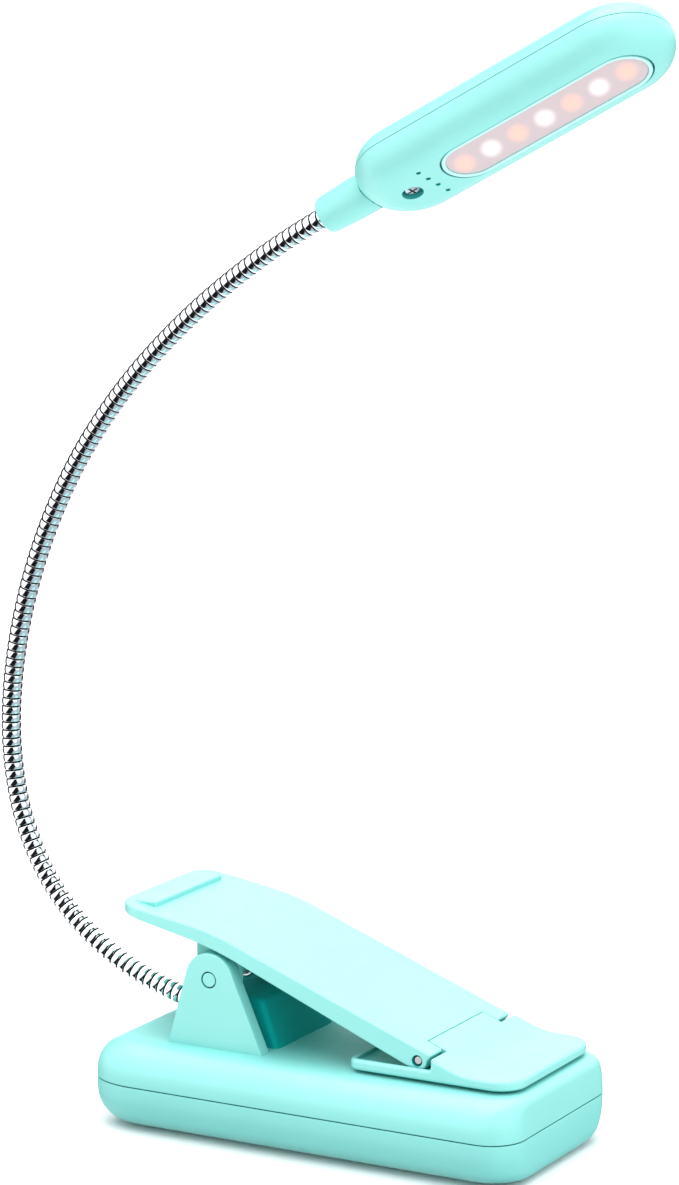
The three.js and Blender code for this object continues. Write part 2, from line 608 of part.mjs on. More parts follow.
function headLowerShell() {
  const skin = headForm(-HEAD.halfThickness, HEAD.parting - GAP / 2, 0, 0);
  const cavity = headForm(-cavityHalf, HEAD.parting + 1, HEAD.wall, CAVITY_START);
  const boss = cylinderZ(3.6, 0.5 - HEAD.halfThickness, HEAD.parting - GAP / 2, HEAD_SCREW.x, 0);
  const opening = prism(stadium(WINDOW.x0 - GAP, WINDOW.x1 + GAP, WINDOW.halfWidth + GAP), -8, -4);
  const recess = cylinderZ(HEAD_SCREW.recessRadius, -8, -2.6, HEAD_SCREW.x, 0);
  const screwHole = cylinderZ(HEAD_SCREW.shankRadius + 0.2, -3, 2, HEAD_SCREW.x, 0, 16);
  const dots = indicatorYs.map((y) => cylinderZ(INDICATOR.radius, -8, -4, INDICATOR.x, y, 12));
  const shell = shaped(skin, { cut: [cavity] });
  return shaped(shell, { add: [boss], cut: [opening, recess, screwHole, ...dots, ...collarHoles()] });
}

const indicatorYs = Array.from({ length: INDICATOR.count },
  (_, i) => (i - (INDICATOR.count - 1) / 2) * INDICATOR.pitch);

function indicatorLightGuide() {
  const bar = box(INDICATOR.x - 1, INDICATOR.x + 1, -6.8, 6.8, 0.1 - cavityHalf, 1.3 - cavityHalf);
  const pins = indicatorYs.map((y) => cylinderZ(0.4, 0.5 - HEAD.halfThickness, -4.8, INDICATOR.x, y, 12));
  return shaped(bar, { add: pins });
}

function collar() {
  const points = [
    [2.8, -HEAD.collarLength], [4.5, -HEAD.collarLength], [4.8, 0.4 - HEAD.collarLength],
    [HEAD.collarRadius, -4], [HEAD.collarRadius, 2.3], [3.2, 2.3], [3.2, 5.3], [4.6, 5.3], [4.6, 6.6],
    [1.6, 6.6], [1.6, NECK.spigot + GAP - HEAD.collarLength], [2.8, NECK.spigot + GAP - HEAD.collarLength],
    [2.8, -HEAD.collarLength],
  ].map(([r, x]) => new THREE.Vector2(r, x));
  return new THREE.LatheGeometry(points, 32).rotateZ(-Math.PI / 2);
}

function diffuser() {
  const face = prism(stadium(WINDOW.x0, WINDOW.x1, WINDOW.halfWidth), 0.15 - HEAD.halfThickness, -4.6);
  const flange = prism(stadium(
    WINDOW.x0 - WINDOW.flange, WINDOW.x1 + WINDOW.flange, WINDOW.halfWidth + WINDOW.flange),
  0.1 - cavityHalf, -4.4);
  return shaped(face, { add: [flange] });
}

function ledBoard() {
  return prism(stadium(20.5, 81, 6), -2.6, -1.6);
}

function led(index) {
  const x = LED.firstX + index * LED.pitch;
  return box(x - LED.length / 2, x + LED.length / 2, -LED.width / 2, LED.width / 2, -2.7 - LED.height, -2.7);
}

function headScrew() {
  const head = cylinderZ(HEAD_SCREW.headRadius, -4.2, -2.7, HEAD_SCREW.x, 0);
  const shank = cylinderZ(HEAD_SCREW.shankRadius, -3, 4.5, HEAD_SCREW.x, 0, 16);
  const cross = [[1.2, 0.3], [0.3, 1.2]].map(([dx, dy]) => box(
    HEAD_SCREW.x - dx, HEAD_SCREW.x + dx, -dy, dy, -5, -3.5));
  return shaped(head, { add: [shank], cut: cross });
}

function modeButton() {
  const cap = cylinderZ(BUTTON.radius, 4.4, HEAD.halfThickness + BUTTON.height, BUTTON.x, 0, 32);
  const flange = cylinderZ(BUTTON.radius + 0.8, 4, cavityHalf - GAP, BUTTON.x, 0, 32);
  return shaped(cap, { add: [flange] });
}

function tactSwitch() {
  const body = box(BUTTON.x - 3, BUTTON.x + 3, -3, 3, -1.5, 2);
  const plunger = cylinderZ(1.6, 1.5, 4 - BUTTON.travel - GAP, BUTTON.x, 0, 16);
  return shaped(body, { add: [plunger] });
}

// ---------------------------------------------------------------- the assembled lamp
const lamp = new THREE.Group();
lamp.add(
  mesh('base_lower_shell', baseLowerShell(), mint()),
  mesh('base_upper_shell', baseUpperShell(), mint()),
  mesh('battery_cell', prism(roundedOutline(-22, 30, -17, 17, 2.5, 4), 0.3, 9.8), material(0x3a4a8c, 0.5)),
  mesh('charge_board', box(BOARD.x0, BOARD.x1, -BOARD.halfWidth, BOARD.halfWidth, BOARD.z0, BOARD.z1), circuitBoard()),
  mesh('usb_port', usbPort(), steel()),
  mesh('base_grip_pad', gripPad(BASE.height - PAD.thickness + 0.1, BASE.height + 0.1), silicone()),
  mesh('neck_anchor', neckAnchor(), steel()),
  mesh('lever_pivot_pin', cylinderY(PIVOT.pinRadius, 0.1 - EAR.outer, EAR.outer - 0.1, PIVOT.x, PIVOT.z, 32), mint()),
  mesh('lever_spring', leverSpring(), steel()),
  mesh('clip_lever', leverBody(), mint()),
  mesh('jaw_pin', cylinderY(JAW.pinRadius, 0.6 - LEVER.halfWidth, LEVER.halfWidth - 0.6, JAW.pinX, JAW.pinZ, 20), steel()),
  mesh('clip_jaw', jawBody(), mint()),
  mesh('jaw_grip_pad', gripPad(JAW.underside - GAP, JAW.underside + PAD.thickness - 0.1), silicone()),
);
screwPlaces.forEach((place, i) => lamp.add(mesh(`base_screw_${i + 1}`, baseScrew(place), steel())));
neck.arcs.forEach((_, i) => {
  const name = `neck_link_${String(i + 1).padStart(2, '0')}`;
  lamp.add(mesh(name, neckLink(i), chrome()));
});

const head = new THREE.Group();
head.add(
  mesh('head_collar', collar(), mint()),
  mesh('head_upper_shell', headUpperShell(), mint()),
  mesh('head_lower_shell', headLowerShell(), mint()),
  mesh('diffuser_window', diffuser(), frosted()),
  mesh('indicator_light_guide', indicatorLightGuide(), frosted()),
  mesh('led_board', ledBoard(), circuitBoard()),
  mesh('head_screw', headScrew(), steel()),
  mesh('mode_button', modeButton(), mint()),
  mesh('mode_switch', tactSwitch(), blackPlastic()),
);
for (let i = 0; i < LED.count; i += 1) {
  head.add(mesh(`led_${i + 1}`, led(i), i % 2 === 0 ? warmLed() : whiteLed()));
}
const headPitch = rad(neck.end.heading);
head.rotation.set(-rad(HEAD.roll), -headPitch, 0, 'YXZ');
head.position.set(
  neck.end.x + HEAD.collarLength * Math.cos(headPitch), 0,
  neck.end.z + HEAD.collarLength * Math.sin(headPitch));
lamp.add(head);
lamp.position.z = -BASE.bottom;

export default lamp;
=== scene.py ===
"""Looks for the clip-on reading lamp: detailed pieces, materials, light and camera around the CAD frame.

Shapes are made in millimetres, and scaled to metres when they are placed.
"""
import math

import bmesh
import bpy
from mathutils import Matrix, Vector


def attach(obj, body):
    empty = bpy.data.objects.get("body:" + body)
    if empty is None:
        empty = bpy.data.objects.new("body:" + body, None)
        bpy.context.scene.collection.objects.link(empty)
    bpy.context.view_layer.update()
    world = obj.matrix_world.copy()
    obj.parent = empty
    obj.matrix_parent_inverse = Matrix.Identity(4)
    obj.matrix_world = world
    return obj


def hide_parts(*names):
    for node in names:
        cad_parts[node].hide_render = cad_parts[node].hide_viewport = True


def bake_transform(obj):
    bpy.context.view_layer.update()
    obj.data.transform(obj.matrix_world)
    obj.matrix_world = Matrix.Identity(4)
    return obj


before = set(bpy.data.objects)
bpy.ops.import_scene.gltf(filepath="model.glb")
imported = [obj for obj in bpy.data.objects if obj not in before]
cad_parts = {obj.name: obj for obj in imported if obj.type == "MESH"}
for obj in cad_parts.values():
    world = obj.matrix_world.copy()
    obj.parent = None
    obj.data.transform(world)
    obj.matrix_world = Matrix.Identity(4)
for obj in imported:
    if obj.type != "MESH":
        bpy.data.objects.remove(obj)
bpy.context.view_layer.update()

# ---------------------------------------------------------------- dimensions, in millimetres
MM = 0.001
LIFT = 2.2  # the shapes are drawn this far below where they stand
REAR, FRONT, HALF_W, HEIGHT, PARTING = -57.3, 59.6, 29.25, 20.0, 9.5
FRONT_CORNER, REAR_CORNER = 9.0, (13.3, 8.5)
UPPER_HALF = {"flat": HEIGHT, "side": 8.3, "front": 3.0, "draft": 0.3, "corner": 4.5}
LOWER_HALF = {"flat": -LIFT, "side": 9.0, "front": 4.0, "draft": 0.3, "corner": 10.0}
SEAM = 0.22  # the base's visible parting line
EAR = {"rear": -37.7, "front": -11.3, "radius": 6.6, "inner": 17, "outer": 21}
POST = {"rear": -37.7, "rear_top": -34, "front_top": -15, "front": -10.1, "top": 32, "half": 14}
PAD_RECESS = (24, 53, -16, 16)
SCREW_X, SCREW_Y, SCREW_HOLE = 44, 16, 2.6
PORT_HALF, PORT_LOW, PORT_HIGH, PORT_CORNER = 4.9, 4.0, 8.0, 1.6
LEVER_REAR, LEVER_REAR_TOP, LEVER_HALF, LEVER_CORNER = -52.7, 53.3, 21, 6.5
JAW_REAR, JAW_FRONT, JAW_HALF, JAW_UNDER, JAW_FLOOR, JAW_RIM = 13.0, 57.6, 22.3, 20.7, 22.3, 23.4
HUMP_HALF, LUG_GAP = 14.3, 14.6
PIVOT_X, PIVOT_Z, PIN_HOLE = -26.0, 37.1, 2.1
SPRING_R, SPRING_ARM = 2.9, 56
JAW_X, JAW_Z, JAW_PIN_HOLE = 31.3, 25.0, 1.4
BEND_X, BEND_TOP, BEND_UNDER = -25.5, 49.1, 45.2
TOP_SLOPE = math.tan(math.radians(-20.4))
UNDER_SLOPE = (23.9 - BEND_UNDER) / (29.5 - BEND_X)
NECK_START, NECK_HEADING, LINK, NECK_R = (-36.0, 23.8), 172.9, 20.6, 2.5
NECK_BENDS = [12.5, 18.5, 21.5, 19.5, 14, 9.5, 8, 8, 8.5, 7.5, 6, 5.5, 5.5]
RING_PITCH, GROOVE = 2.08, 0.105  # the groove reaches this share of a ring to each side
HEAD_L, HEAD_W, HEAD_T, HEAD_PARTING, HEAD_ROLL = 86.5, 13.8, 6.8, 0.6, 26.5
COLLAR_L, COLLAR_R, COLLAR_HOLE = 12.7, 5.0, 5.4
WINDOW_X0, WINDOW_X1, WINDOW_W = 23.6, 79.0, 6.3
LED_X, LED_PITCH = 27.7, 7.75
BUTTON_X, BUTTON_WELL = 24, 4.75
HEAD_SCREW_X, HEAD_SCREW_HOLE = 12.2, 2.6
DOT_X, DOT_PITCH, DOT_R = 18.3, 3.8, 0.6


# ---------------------------------------------------------------- mesh helpers
def new_object(name, points, faces):
    mesh = bpy.data.meshes.new(name)
    mesh.from_pydata([tuple(p) for p in points], [], faces)
    obj = bpy.data.objects.new(name, mesh)
    bpy.context.scene.collection.objects.link(obj)
    return obj


def loft(name, rings, closed=False):
    """A surface through rings of equal length; capped at both ends, or joined end to start when closed."""
    count = len(rings[0])
    points = [p for ring in rings for p in ring]
    spans = len(rings) if closed else len(rings) - 1
    faces = []
    for r in range(spans):
        low, high = r * count, (r + 1) % len(rings) * count
        for i in range(count):
            j = (i + 1) % count
            faces.append((low + i, low + j, high + j, high + i))
    if not closed:
        faces.append(tuple(reversed(range(count))))
        faces.append(tuple(range((len(rings) - 1) * count, len(rings) * count)))
    obj = new_object(name, points, faces)
    face_out(obj)
    return obj


def face_out(obj):
    work = bmesh.new()
    work.from_mesh(obj.data)
    bmesh.ops.recalc_face_normals(work, faces=work.faces)
    work.to_mesh(obj.data)
    work.free()


def cornered(arcs, steps=16):
    """An outline through four corner arcs of (x, y, rx, ry), counter-clockwise from the +X +Y corner."""
    points = []
    for corner, (cx, cy, rx, ry) in enumerate(arcs):
        for step in range(steps + 1):
            a = (corner + step / steps) * math.pi / 2
            points.append((cx + rx * math.cos(a), cy + ry * math.sin(a)))
    return points


def rounded(x0, x1, y0, y1, radius, steps=16):
    """A rectangle with round corners."""
    centres = [(x1 - radius, y1 - radius), (x0 + radius, y1 - radius),
               (x0 + radius, y0 + radius), (x1 - radius, y0 + radius)]
    return cornered([(x, y, radius, radius) for x, y in centres], steps)


def prism_z(outline, z0, z1, name="tool"):
    return loft(name, [[(x, y, z) for x, y in outline] for z in (z0, z1)])


def prism_y(outline, y0, y1, name="tool"):
    return loft(name, [[(x, y, z) for x, z in outline] for y in (y0, y1)])


def box(x0, x1, y0, y1, z0, z1):
    return prism_z([(x0, y0), (x1, y0), (x1, y1), (x0, y1)], z0, z1)


def circle(cx, cy, radius, sides=48):
    return [(cx + radius * math.cos(i / sides * math.tau), cy + radius * math.sin(i / sides * math.tau))
            for i in range(sides)]


def lathe_x(name, profile, sides=64):
    """A closed profile of (x, radius) points turned about the X axis."""
    rings = [[(x, r * math.cos(i / sides * math.tau), r * math.sin(i / sides * math.tau))
              for i in range(sides)] for x, r in profile]
    return loft(name, rings, closed=True)


def baked(obj):
    """Applies the object's modifiers to its mesh."""
    bpy.context.view_layer.update()
    graph = bpy.context.evaluated_depsgraph_get()
    mesh = bpy.data.meshes.new_from_object(obj.evaluated_get(graph))
    obj.modifiers.clear()
    obj.data = mesh
    return obj


def combine(obj, tools, operation="DIFFERENCE"):
    for tool in tools:
        modifier = obj.modifiers.new(operation.lower(), "BOOLEAN")
        modifier.operation = operation
        modifier.solver = "EXACT"
        modifier.object = tool
    baked(obj)
    for tool in tools:
        bpy.data.objects.remove(tool)
    return obj


def bevel(obj, width, segments=3, angle=32):
    """Rounds every edge sharper than the angle, after flat faces have been tidied."""
    work = bmesh.new()
    work.from_mesh(obj.data)
    bmesh.ops.remove_doubles(work, verts=work.verts, dist=0.001)
    bmesh.ops.dissolve_limit(work, angle_limit=math.radians(0.5), verts=work.verts, edges=work.edges)
    work.to_mesh(obj.data)
    work.free()
    modifier = obj.modifiers.new("bevel", "BEVEL")
    modifier.width = width
    modifier.segments = segments
    modifier.limit_method = "ANGLE"
    modifier.angle_limit = math.radians(angle)
    modifier.miter_outer = "MITER_ARC"
    return baked(obj)


def join(obj, others):
    """Adds the other objects' meshes to obj as separate islands."""
    work = bmesh.new()
    for part in [obj] + others:
        work.from_mesh(part.data)
    work.to_mesh(obj.data)
    work.free()
    for part in others:
        bpy.data.objects.remove(part)
    return obj


def paint_shading(obj, rule):
    """Gives each face painted shading from its centre and normal: 1 for painted shade in a crevice, -1 for
    painted light on a lit rim, 0 elsewhere.
    """
    tones = [float(rule(face.center, face.normal)) for face in obj.data.polygons]
    obj.data.attributes.new("tone", "FLOAT", "FACE").data.foreach_set("value", tones)


def place(obj, body, nodes, surface, matrix=None, sharp=38):
    """Scales the piece to metres, shades it, attaches it to its CAD body, and hides the CAD nodes that it
    stands in for.
    """
    if matrix is None:
        obj.data.transform(Matrix.Translation((0, 0, LIFT)))
    obj.data.transform(Matrix.Scale(MM, 4))
    obj.data.materials.clear()
    obj.data.materials.append(surface)
    obj.data.shade_smooth()
    obj.data.set_sharp_from_angle(angle=math.radians(sharp))
    modifier = obj.modifiers.new("flat faces first", "WEIGHTED_NORMAL")
    modifier.keep_sharp = True
    modifier.weight = 80
    baked(obj)
    if matrix is not None:
        obj.matrix_world = matrix
    if body:
        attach(obj, body)
    if nodes:
        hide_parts(*nodes)
    return obj


# ---------------------------------------------------------------- materials
class Surface:
    """A Principled material whose texture nodes read object coordinates, in metres."""

    def __init__(self, name, **sockets):
        self.material = bpy.data.materials.new(name)
        self.material.use_nodes = True
        self.tree = self.material.node_tree
        self.shader = self.tree.nodes["Principled BSDF"]
        self.coordinates = self.tree.nodes.new("ShaderNodeTexCoord").outputs["Object"]
        for socket, value in sockets.items():
            self.shader.inputs[socket.replace("_", " ")].default_value = value

    def link(self, output, node_input):
        self.tree.links.new(output, node_input)

    def noise(self, scale, detail=3.0, roughness=0.5):
        node = self.tree.nodes.new("ShaderNodeTexNoise")
        node.inputs["Scale"].default_value = scale
        node.inputs["Detail"].default_value = detail
        node.inputs["Roughness"].default_value = roughness
        self.link(self.coordinates, node.inputs["Vector"])
        return node.outputs["Fac"]

    def ramp(self, factor, stops):
        node = self.tree.nodes.new("ShaderNodeValToRGB")
        ramp = node.color_ramp
        while len(ramp.elements) < len(stops):
            ramp.elements.new(0.5)
        for element, (position, colour) in zip(ramp.elements, stops):
            element.position = position
            element.color = (*colour, 1)
        self.link(factor, node.inputs["Fac"])
        return node.outputs["Color"]

    def spread(self, factor, low, high):
        node = self.tree.nodes.new("ShaderNodeMapRange")
        node.inputs["From Min"].default_value = 0.3
        node.inputs["From Max"].default_value = 0.7
        node.inputs["To Min"].default_value = low
        node.inputs["To Max"].default_value = high
        self.link(factor, node.inputs["Value"])
        return node.outputs["Result"]

    def bump(self, height, distance, strength=1.0):
        node = self.tree.nodes.new("ShaderNodeBump")
        node.inputs["Strength"].default_value = strength
        node.inputs["Distance"].default_value = distance
        self.link(height, node.inputs["Height"])
        self.link(node.outputs["Normal"], self.shader.inputs["Normal"])

    def colour(self, output, name="Base Color"):
        self.link(output, self.shader.inputs[name])

    def math(self, operation, a, b=None):
        node = self.tree.nodes.new("ShaderNodeMath")
        node.operation = operation
        for socket, value in zip(node.inputs, (a, b)):
            if value is None:
                continue
            if isinstance(value, (int, float)):
                socket.default_value = value
            else:
                self.link(value, socket)
        return node.outputs[0]

    def mix(self, factor, a, b):
        node = self.tree.nodes.new("ShaderNodeMix")
        node.data_type = "RGBA"
        self.link(factor, node.inputs["Factor"])
        for socket, value in ((node.inputs["A"], a), (node.inputs["B"], b)):
            if isinstance(value, tuple):
                socket.default_value = (*value, 1)
            else:
                self.link(value, socket)
        return node.outputs["Result"]

    # Reads the faces' painted shading: above 0 painted shade, below 0 painted light.
    def tone(self):
        node = self.tree.nodes.new("ShaderNodeAttribute")
        node.attribute_name = "tone"
        return node.outputs["Fac"]

    def hidden(self, distance, stops):
        """Near 1 where a surface is shut in by its surroundings, falling to 0 where it is open; an ambient
        occlusion mask that paints shade.
        """
        node = self.tree.nodes.new("ShaderNodeAmbientOcclusion")
        node.inputs["Distance"].default_value = distance
        node.samples = 8
        return self.ramp(node.outputs["AO"], [(at, (value,) * 3) for at, value in stops])


def mint_plastic():
    """Mint moulded plastic with painted shade, deep teal, in crevices and where ambient occlusion finds it
    shut in, and painted light, pale, beside the lit window.
    """
    s = Surface("mint_plastic", Specular_IOR_Level=0.8)
    body = s.ramp(s.noise(38, 2.0), [(0.35, MINT_DARK), (0.65, MINT_LIGHT)])
    # Painted shade: the faces' painted shading and the ambient occlusion mix deep teal into the colour;
    # painted light mixes pale mint in on the window's rim.
    tone = s.tone()
    occlusion_shade = s.hidden(0.036, [(0.05, 0.5), (0.3, 0.32), (0.6, 0.28), (0.92, 0.0)])
    depth = s.math("MAXIMUM", s.math("MAXIMUM", tone, 0.0), occlusion_shade)
    painted_rim_glow = s.math("MAXIMUM", s.math("MULTIPLY", tone, -1.0), 0.0)
    s.colour(s.mix(painted_rim_glow, s.mix(depth, body, PAINTED_SHADE_TEAL), PAINTED_GLOW_MINT))
    # Painted shade in the reflections too: the specular tint turns teal where shade is painted.
    s.colour(s.mix(depth, (1.0, 1.0, 1.0), (0.0, 0.2, 0.2)), "Specular Tint")
    rough = s.math("ADD", s.spread(s.noise(260, 3.0), 0.34, 0.44), s.math("MULTIPLY", depth, 0.5))
    s.link(rough, s.shader.inputs["Roughness"])
    s.bump(s.noise(1400, 2.0), 0.000012)
    return s.material


def chrome_painted_grooves():
    """Bright plated rings, with painted shade, nearly black and not metallic, down in the grooves between
    them.
    """
    s = Surface("neck_chrome", Metallic=1.0)
    plate = s.ramp(s.noise(90, 3.0), [(0.3, (0.8, 0.83, 0.86)), (0.7, (0.86, 0.88, 0.9))])
    # Painted shade: the grooves are painted near black and lose their metal.
    s.colour(s.mix(s.tone(), plate, (0.006, 0.007, 0.008)))
    s.link(s.math("SUBTRACT", 1.0, s.tone()), s.shader.inputs["Metallic"])
    s.link(s.spread(s.noise(350, 3.0), 0.05, 0.12), s.shader.inputs["Roughness"])
    s.bump(s.noise(700, 2.0), 0.000002)
    return s.material


def moulded(name, light, dark, rough, grain=1400, depth=0.000012, **sockets):
    """Moulded plastic: a faint cloudiness of colour, a fine spark-eroded grain and uneven gloss."""
    s = Surface(name, **sockets)
    s.colour(s.ramp(s.noise(38, 2.0), [(0.35, dark), (0.65, light)]))
    s.link(s.spread(s.noise(260, 3.0), *rough), s.shader.inputs["Roughness"])
    s.bump(s.noise(grain, 2.0), depth)
    return s.material


def metal(name, light, dark, rough, grain=500, depth=0.000004):
    s = Surface(name, Metallic=1.0)
    s.colour(s.ramp(s.noise(90, 3.0), [(0.3, dark), (0.7, light)]))
    s.link(s.spread(s.noise(grain, 3.0), *rough), s.shader.inputs["Roughness"])
    s.bump(s.noise(grain * 2, 2.0), depth)
    return s.material


MINT_LIGHT, MINT_DARK = (0.31, 0.81, 0.765), (0.295, 0.79, 0.745)
# The colours of the painted shade and of the painted light on the window's rim.
PAINTED_SHADE_TEAL, PAINTED_GLOW_MINT = (0.004, 0.37, 0.35), (0.58, 0.97, 0.94)
MINT = mint_plastic()
RUBBER = moulded("grip_rubber", (0.15, 0.52, 0.47), (0.13, 0.48, 0.43), (0.72, 0.85),
                 grain=900, depth=0.00004)
STEEL = metal("zinc_steel", (0.72, 0.73, 0.75), (0.58, 0.6, 0.63), (0.22, 0.36))
CHROME = chrome_painted_grooves()
BLACK = moulded("switch_plastic", (0.02, 0.021, 0.023), (0.014, 0.015, 0.016), (0.4, 0.55))
BOARD = moulded("solder_mask", (0.012, 0.11, 0.05), (0.01, 0.085, 0.04), (0.25, 0.4), grain=600)
WRAP = moulded("battery_wrap", (0.04, 0.07, 0.25), (0.035, 0.06, 0.21), (0.25, 0.35))


def painted_glow_material():
    """The frosted window: pinkish grey, with a painted glow before each light, warm and white in turn."""
    s = Surface("frosted_window_painted_glow", Roughness=0.42)
    parts = s.tree.nodes.new("ShaderNodeSeparateXYZ")
    s.link(s.coordinates, parts.inputs["Vector"])
    steps = s.math("DIVIDE", s.math("SUBTRACT", parts.outputs["X"], LED_X * MM), LED_PITCH * MM)
    nearest = s.math("ROUND", s.math("MINIMUM", s.math("MAXIMUM", steps, 0.0), 6.0))
    along = s.math("MULTIPLY", s.math("SUBTRACT", steps, nearest), LED_PITCH)
    across = s.math("DIVIDE", parts.outputs["Y"], MM)
    lean = s.math("ADD", s.math("MULTIPLY", across, 0.75), s.math("MULTIPLY", along, 0.6))
    squared = s.math("ADD", s.math("MULTIPLY", s.math("MULTIPLY", along, along), 1.15),
                     s.math("MULTIPLY", across, lean))
    distance = s.math("SQRT", squared)
    is_white = s.math("MODULO", nearest, 2.0)
    veil = (0.57, 0.47, 0.49)
    reach = s.math("DIVIDE", distance, 6.0)
    warm = [(0.0, (0.95, 0.54, 0.46)), (0.24, (0.93, 0.54, 0.46)), (0.43, (0.72, 0.5, 0.48)), (0.6, veil)]
    white = [(0.0, (1.0, 1.0, 1.0)), (0.22, (1.0, 0.98, 0.98)), (0.4, (0.74, 0.64, 0.66)), (0.58, veil)]
    glow = s.mix(is_white, s.ramp(reach, warm), s.ramp(reach, white))
    # The painted glow goes into both the colour and the emission.
    s.colour(glow)
    s.colour(glow, "Emission Color")
    s.shader.inputs["Emission Strength"].default_value = 0.2
    s.bump(s.noise(1500, 2.0), 0.00001)
    return s.material


def lit(name, light, dark, strength):
    s = Surface(name, Roughness=0.35)
    shade = s.ramp(s.noise(700, 1.0), [(0.35, dark), (0.65, light)])
    s.colour(shade)
    s.colour(shade, "Emission Color")
    s.shader.inputs["Emission Strength"].default_value = strength
    return s.material


WINDOW_WITH_PAINTED_GLOW = painted_glow_material()
WARM = lit("warm_light", (1.0, 0.62, 0.36), (0.95, 0.55, 0.3), 0.8)
WHITE = lit("white_light", (1.0, 1.0, 0.98), (0.93, 0.95, 0.96), 0.8)


# ---------------------------------------------------------------- base
def base_ring(z, half, inset):
    """The base's plan outline at a height: drafted, and rounded towards its flat face."""
    up = abs(half["flat"] - z)
    drawn_in = inset + half["draft"] * abs(z - PARTING) / abs(half["flat"] - PARTING)

    def turn(radius):
        depth = min(up, radius)
        return radius - math.sqrt(max(radius ** 2 - (radius - depth) ** 2, 0))

    side = drawn_in + turn(half["side"])
    front = drawn_in + turn(half["front"])
    growth = (half["corner"] - FRONT_CORNER) * turn(half["side"]) / half["side"]
    corner = max(FRONT_CORNER + growth - inset, 1.5)
    length, width = max(REAR_CORNER[0] - side, 2), max(REAR_CORNER[1] - side, 1.5)
    front_x, rear_x, y = FRONT - front - corner, REAR + side + length, HALF_W - side
    outline = cornered([(front_x, y - corner, corner, corner), (rear_x, y - width, length, width),
                        (rear_x, width - y, length, width), (front_x, corner - y, corner, corner)])
    return [(px, py, z) for px, py in outline]


def base_half(name, half, lip):
    """One shell from its lip, round its rim, up or down its rounded side to its flat face."""
    away = 1 if half["flat"] > PARTING else -1
    edge = PARTING + away * SEAM / 2
    levels = [(edge + lip, 2.0), (edge, 2.0), (edge, 0.2), (edge + away * 0.06, 0.06), (edge + away * 0.2, 0)]
    levels.append((half["flat"] - away * half["side"] * 1.12, 0))
    steps = 14
    for step in range(steps + 1):
        levels.append((half["flat"] - away * half["side"] * (1 - math.sin(step / steps * math.pi / 2)), 0))
    levels.append((half["flat"], 0.8))
    return loft(name, [base_ring(z, half, inset) for z, inset in levels])


def tangent_point(x, z, radius, side):
    """Where a line from (x, z) touches the circle of that radius about the lever's pivot."""
    away = math.hypot(PIVOT_X - x, PIVOT_Z - z)
    angle = math.atan2(PIVOT_Z - z, PIVOT_X - x) + side * math.asin(radius / away)
    reach = math.sqrt(away ** 2 - radius ** 2)
    return x + reach * math.cos(angle), z + reach * math.sin(angle)


def arc(cx, cz, radius, a0, a1, steps):
    angles = [a0 + (a1 - a0) * i / steps for i in range(steps + 1)]
    return [(cx + radius * math.cos(a), cz + radius * math.sin(a)) for a in angles]


def ear(y0, y1):
    """A plate whose straight sides run up from the base to a round top about the pivot."""
    rear = tangent_point(EAR["rear"], HEIGHT, EAR["radius"], 1)
    front = tangent_point(EAR["front"], HEIGHT, EAR["radius"], -1)
    a0 = math.atan2(rear[1] - PIVOT_Z, rear[0] - PIVOT_X)
    a1 = math.atan2(front[1] - PIVOT_Z, front[0] - PIVOT_X)
    outline = [(EAR["rear"], HEIGHT - 1.5), (EAR["rear"], HEIGHT)]
    outline += arc(PIVOT_X, PIVOT_Z, EAR["radius"], a0, a1, 28)
    outline += [(EAR["front"], HEIGHT), (EAR["front"], HEIGHT - 1.5)]
    plate = bevel(prism_y(outline, y0, y1), 0.4, 3)
    return combine(plate, [prism_y(circle(PIVOT_X, PIVOT_Z, PIN_HOLE), y0 - 1, y1 + 1)])


def post():
    """The block between the ears, with the neck's bore in its rear face."""
    foot = HEIGHT - 1.5
    outline = [(POST["rear"], foot), (POST["rear_top"], POST["top"]), (POST["front_top"], POST["top"]),
               (POST["front"], foot)]
    block = bevel(prism_y(outline, -POST["half"], POST["half"]), 1.3, 4)
    bore = prism_z(circle(0, 0, NECK_R + 0.3), -6, 9)
    turn = Matrix.Rotation(math.pi / 2 - math.radians(NECK_HEADING), 4, "Y")
    bore.data.transform(Matrix.Translation((NECK_START[0], 0, NECK_START[1])) @ turn)
    return combine(block, [bore])


def base_painted_shade(centre, normal):
    """Painted shade in the parting line and round the pivot pin, on the post, and on the ears' inner faces.
    """
    across = abs(centre.y)
    from_pivot = math.hypot(centre.x - PIVOT_X, centre.z - PIVOT_Z)
    in_pin_gap = from_pivot < PIN_HOLE + 0.02 and abs(normal.y) < 0.5
    if abs(centre.z - PARTING) < SEAM / 2 + 0.02 or in_pin_gap:
        return 1
    if centre.z < HEIGHT + 0.02:
        return 0
    # Painted shade over the whole post.
    if across < POST["half"] + 0.1:
        return 1
    return 0.75 if abs(across - EAR["inner"]) < 0.05 else 0


def build_base():
    upper = base_half("base_upper", UPPER_HALF, 1.2)
    combine(upper, [box(*PAD_RECESS, HEIGHT - 0.9, HEIGHT + 1)])
    join(upper, [ear(EAR["inner"], EAR["outer"]), ear(-EAR["outer"], -EAR["inner"]), post()])
    paint_shading(upper, base_painted_shade)
    place(upper, "base", ["base_upper_shell"], MINT)
    lower = base_half("base_lower", LOWER_HALF, -1.0)
    screws = [(x, y) for x in (-SCREW_X, SCREW_X) for y in (-SCREW_Y, SCREW_Y)]
    tools = [prism_z(circle(x, y, SCREW_HOLE), -4, 1) for x, y in screws]
    port = rounded(-PORT_HALF, PORT_HALF, PORT_LOW, PORT_HIGH, PORT_CORNER, 6)
    tools.append(loft("tool", [[(x, y, z) for y, z in port] for x in (REAR - 4.7, REAR + 7.3)]))
    combine(lower, tools)
    paint_shading(lower, base_painted_shade)
    place(lower, "base", ["base_lower_shell"], MINT)


